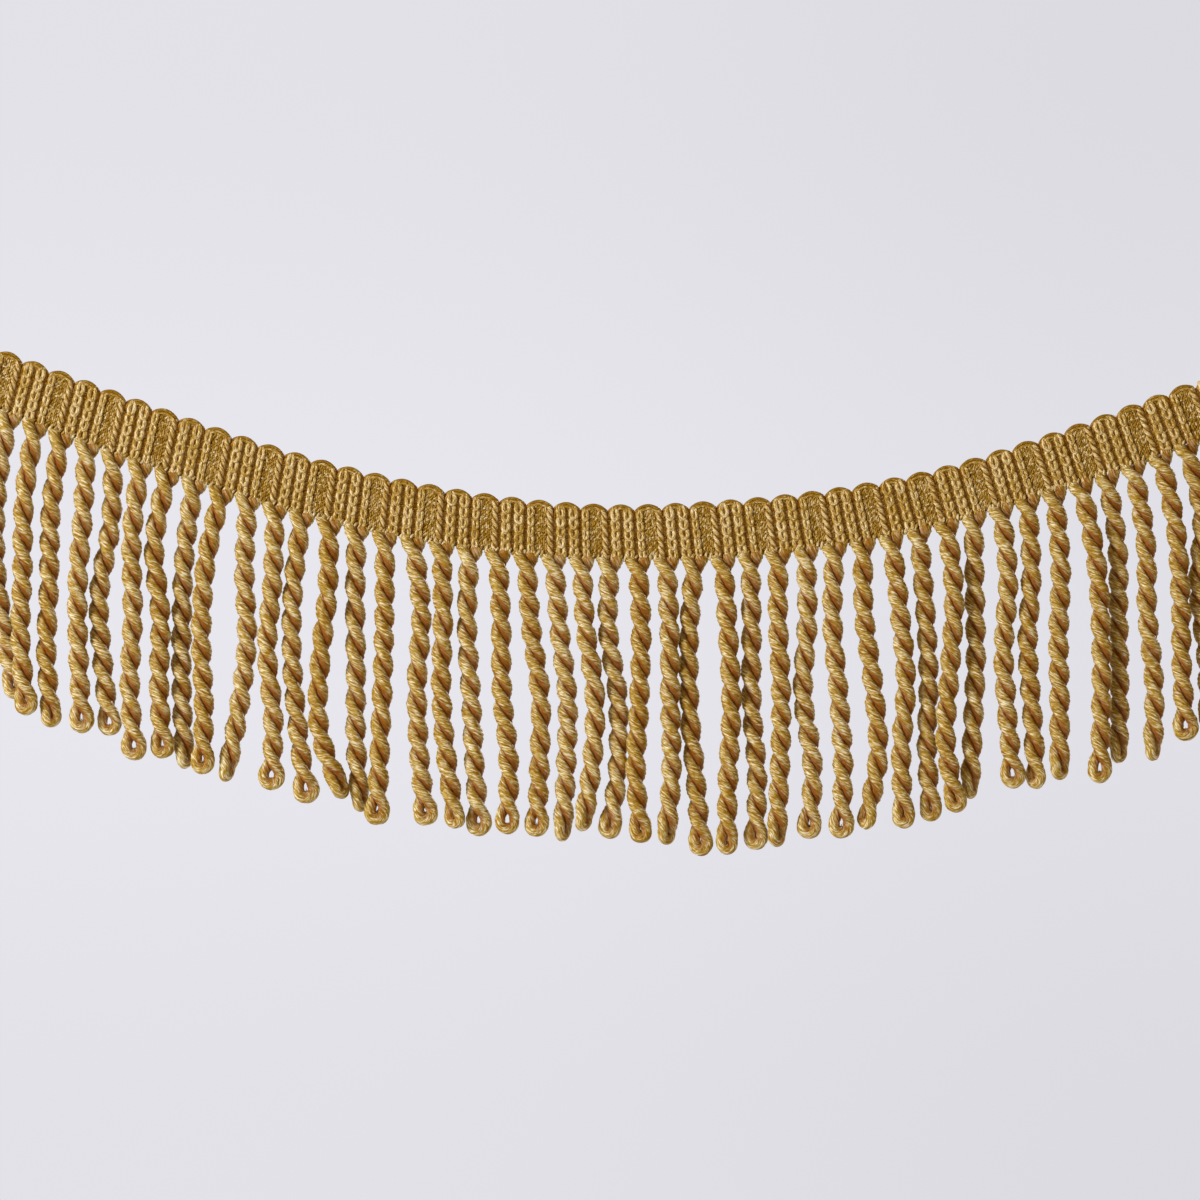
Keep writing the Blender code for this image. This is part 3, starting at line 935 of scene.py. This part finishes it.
def build_tape(material):
    """The knitted ground that the wales stand on."""
    columns = TAPE_COLUMNS_PER_PITCH * (LAST_PITCH - FIRST_PITCH) + 1
    pitch = np.linspace(FIRST_PITCH, LAST_PITCH, columns)[:, None]
    _, _, height = rib(pitch)
    top = height - scallop_drop(pitch) - TAPE_TOP_GAP
    rise = TAPE_FOOT + (top - TAPE_FOOT) * np.linspace(0, 1, TAPE_ROWS)
    front = on_heading(pitch, rise, TAPE_FRONT)
    back = on_heading(pitch, rise, TAPE_BACK)
    rings = np.concatenate((front, back[:, ::-1]), axis=1)
    heights = np.concatenate((rise, rise[:, ::-1]), axis=1)
    places = np.stack(np.broadcast_arrays(0.0, heights, pitch * PITCH_LENGTH), -1)
    tape = Yarn()
    # Painted shade on the tape's front and back
    painted_shade = np.repeat(TAPE_PAINTED_SHADES, TAPE_ROWS)[None, :] + np.zeros_like(heights)
    tape.add_rings(rings, places / MM, painted_shade, TAPE_LIGHT)
    return tape.finish("heading_tape", material, "heading_yarn", "heading")


# Where the wales and the flat part lie across a panel, as shares of its width. A flat panel's
# first wale is a chain and its second is a rope
RIBBED_PANEL_WALES = (0.265, 0.735)
FLAT_PANEL_WALES = (0.17, 0.86)
FLAT_PANEL_FIELD = (0.31, 0.75)


def on_trim(pitch):
    return FIRST_PITCH < pitch < LAST_PITCH


def build_heading(tape_material, material):
    """The tape, and a piece for each kind of stitch."""
    rng = np.random.default_rng(SEED + 1)
    tape = build_tape(tape_material)
    chains, fields, ropes, arcs, foot, back = (Yarn() for _ in range(6))
    last_wale = None
    for scallop in range(FIRST_PITCH, LAST_PITCH + 1):
        ribbed = scallop % 2 == 1
        start = scallop - 0.5
        wales = [start + share for share in (RIBBED_PANEL_WALES if ribbed else FLAT_PANEL_WALES)]
        if on_trim(start):
            weft_bars(fields, start, NOTCH_SHADE, rng)
        if ribbed and on_trim(scallop):
            weft_bars(fields, scallop, MIDDLE_SHADE, rng)
        for wale in wales if ribbed else wales[:1]:
            if on_trim(wale):
                chain_wale(chains, wale, RIBBED_CHAIN if ribbed else FLAT_CHAIN, rng)
        for wale in wales:
            if on_trim(wale):
                back_stitches(back, wale, rng)
                if last_wale is not None:
                    back_floats(back, last_wale, wale, rng)
                last_wale = wale
        if on_trim(scallop):
            scallop_arcs(arcs, scallop, rng)
        if not ribbed:
            left, right = (start + share for share in FLAT_PANEL_FIELD)
            slanted_field(fields, left, right, rng)
            weft_rows(fields, left, right, rng)
            rope_wale(ropes, wales[1], rng)
    foot_row(foot, rng)
    named = (
        ("heading_chain_wales", chains),
        ("heading_flat_panels", fields),
        ("heading_rope_wales", ropes),
        ("heading_scallops", arcs),
        ("heading_foot_row", foot),
        ("heading_back", back),
    )
    pieces = [yarn.finish(name, material, "heading_yarn", "heading") for name, yarn in named]
    return tape, pieces


# The floor lies far below the trim, and thins out between two shares of its radius
FLOOR_RADIUS = 2.1
FLOOR_HEIGHT = -0.42
FLOOR_SIDES = 96
FLOOR_COLOUR = (0.86, 0.87, 0.96)
FLOOR_ROUGHNESS = 0.9
FLOOR_FADE = (0.35, 0.97)


def floor_material():
    """Matt and pale, and it thins out towards the floor's rim, so that no edge shows."""
    material = bpy.data.materials.new("floor")
    nodes = Nodes(material, "Principled BSDF")
    nodes.shader.inputs["Base Color"].default_value = (*FLOOR_COLOUR, 1.0)
    nodes.shader.inputs["Roughness"].default_value = FLOOR_ROUGHNESS
    place = nodes.add("ShaderNodeTexCoord").outputs["Object"]
    distance = nodes.add("ShaderNodeVectorMath", operation="LENGTH")
    nodes.link(place, distance.inputs[0])
    near, far = (FLOOR_RADIUS * share for share in FLOOR_FADE)
    alpha = nodes.step(distance.outputs["Value"], near, far, 1.0, 0.0)
    nodes.link(alpha, nodes.shader.inputs["Alpha"])
    return material


def build_floor():
    """A pale round floor far below the trim."""
    turn = np.linspace(0, 2 * np.pi, FLOOR_SIDES, endpoint=False)
    rim = np.stack((np.cos(turn), np.sin(turn), np.full(FLOOR_SIDES, FLOOR_HEIGHT / FLOOR_RADIUS)), -1)
    mesh = bpy.data.meshes.new("floor")
    mesh.from_pydata((rim * FLOOR_RADIUS).tolist(), [], [list(range(FLOOR_SIDES))])
    mesh.materials.append(floor_material())
    floor = bpy.data.objects.new("floor", mesh)
    bpy.context.collection.objects.link(floor)


# The backdrop's colour, and how its tone changes from its middle: along an axis, how far that
# reaches either way, and the shares of the middle's tone at the two ends. A curve holds no more
# than 1, so the tones are divided by a peak
BACKDROP_COLOUR = (0.795, 0.785, 0.835)
BACKDROP_PEAK = 1.1
Fade = namedtuple("Fade", "axis reach low high")
BACKDROP_FADES = (Fade(0, 0.08, 1.02, 0.95), Fade(2, 0.075, 0.945, 0.945))

# The light that the surround sheds turns from the one to the other over a span of a direction's
# share along Y, this far either way
LIGHT_FROM_FRONT = (0.26, 0.175, 0.050)
LIGHT_FROM_BEHIND = (0.42, 0.36, 0.26)
LIGHT_TURNS = 0.6


def build_surround():
    """The seamless pale backdrop, a little darker towards its edges, and a warmer and dimmer
    light that it sheds on the trim, mostly from behind."""
    world = bpy.data.worlds.new("surround")
    bpy.context.scene.world = world
    nodes = Nodes(world, "Background")
    axes = nodes.axes(nodes.add("ShaderNodeTexCoord").outputs["Generated"])
    tones = []
    for fade in BACKDROP_FADES:
        curve = nodes.add("ShaderNodeFloatCurve")
        points = curve.mapping.curves[0].points
        points[0].location = (0.0, fade.low / BACKDROP_PEAK)
        points[1].location = (1.0, fade.high / BACKDROP_PEAK)
        points.new(0.5, 1.0 / BACKDROP_PEAK)
        curve.mapping.update()
        nodes.link(nodes.step(axes[fade.axis], -fade.reach, fade.reach), curve.inputs["Value"])
        tones.append(curve.outputs[0])
    backdrop = nodes.add("ShaderNodeVectorMath", operation="SCALE")
    backdrop.inputs[0].default_value = [value * BACKDROP_PEAK**2 for value in BACKDROP_COLOUR]
    nodes.link(nodes.math("MULTIPLY", *tones), backdrop.inputs["Scale"])
    depth = nodes.step(axes[1], -LIGHT_TURNS, LIGHT_TURNS)
    shed = nodes.mix(depth, LIGHT_FROM_FRONT, LIGHT_FROM_BEHIND)
    seen = nodes.add("ShaderNodeLightPath").outputs["Is Camera Ray"]
    colour = nodes.mix(seen, shed, backdrop.outputs[0])
    nodes.link(colour, nodes.shader.inputs["Color"])


# The key light comes from the left. All three are aimed at the trim's middle
Lamp = namedtuple("Lamp", "name place size power colour")
LAMPS = (
    Lamp("key", (-1.40, -1.20, 0.60), 0.6, 35.5, (1.0, 0.99, 0.98)),
    Lamp("fill", (1.0, -1.5, 0.1), 1.0, 2.0, (1.0, 0.99, 0.98)),
    Lamp("back", (0.9, 1.6, 0.7), 0.8, 13.0, (1.0, 0.98, 0.95)),
)
LAMPS_AIM = (0.0, 0.0, -0.02)


def build_lights():
    for lamp in LAMPS:
        data = bpy.data.lights.new(lamp.name, "AREA")
        data.shape = "SQUARE"
        data.size = lamp.size
        data.energy = lamp.power
        data.color = lamp.colour
        light = bpy.data.objects.new(lamp.name, data)
        light.location = lamp.place
        aim = np.array(LAMPS_AIM) - np.array(lamp.place)
        light.rotation_euler = Vector(aim).to_track_quat("-Z", "Y").to_euler()
        light.visible_camera = False
        bpy.context.collection.objects.link(light)


# The photograph is 1200 pixels wide, each 0.26 mm at the trim, and is taken square on
VIEW_WIDTH = 0.312
VIEW_CENTRE = (-0.00572, -0.01742)
CAMERA_DISTANCE = 2.0
SENSOR_WIDTH = 36.0


def build_camera():
    data = bpy.data.cameras.new("camera")
    data.sensor_width = SENSOR_WIDTH
    data.lens = SENSOR_WIDTH * CAMERA_DISTANCE / VIEW_WIDTH
    camera = bpy.data.objects.new("camera", data)
    camera.location = (VIEW_CENTRE[0], -CAMERA_DISTANCE, VIEW_CENTRE[1])
    camera.rotation_euler = (math.pi / 2, 0, 0)
    bpy.context.collection.objects.link(camera)
    bpy.context.scene.camera = camera


# The heading's yarns share their darker colours and the winding of their fibres
HEADING_DARK = (0.235, 0.115, 0.002)
HEADING_MIDDLE = (0.445, 0.268, 0.036)
HEADING_FIBRES = {"fibres": 6, "slant": 7.0, "fineness": 2.6}


def main():
    cord_yarn = yarn_material(
        "cord_yarn",
        dark=(0.235, 0.100, 0.002),
        middle=(0.475, 0.312, 0.040),
        bright=(0.86, 0.81, 0.60),
        painted_shade_colour=(0.250, 0.063, 0.0004),
        fibres=16,
        slant=6.0,
        fineness=2.2,
        gloss=0.4,
    )
    heading_yarn = yarn_material(
        "heading_yarn",
        dark=HEADING_DARK,
        middle=HEADING_MIDDLE,
        bright=(0.77, 0.65, 0.40),
        painted_shade_colour=(0.29, 0.110, 0.001),
        gloss=0.4,
        **HEADING_FIBRES,
    )
    # The tape's copy of the heading yarn, for the tape in shade under the stitches: no gloss, and its
    # own painted shade colour
    ground_yarn = yarn_material(
        "ground_yarn",
        dark=HEADING_DARK,
        middle=HEADING_MIDDLE,
        bright=(0.80, 0.68, 0.40),
        painted_shade_colour=(0.34, 0.150, 0.002),
        gloss=0.0,
        **HEADING_FIBRES,
    )
    build_camera()
    build_lights()
    build_floor()
    build_surround()
    tape, heading = build_heading(ground_yarn, heading_yarn)
    cords = build_cords(cord_yarn)
    bpy.context.scene.view_settings.view_transform = "Standard"


main()
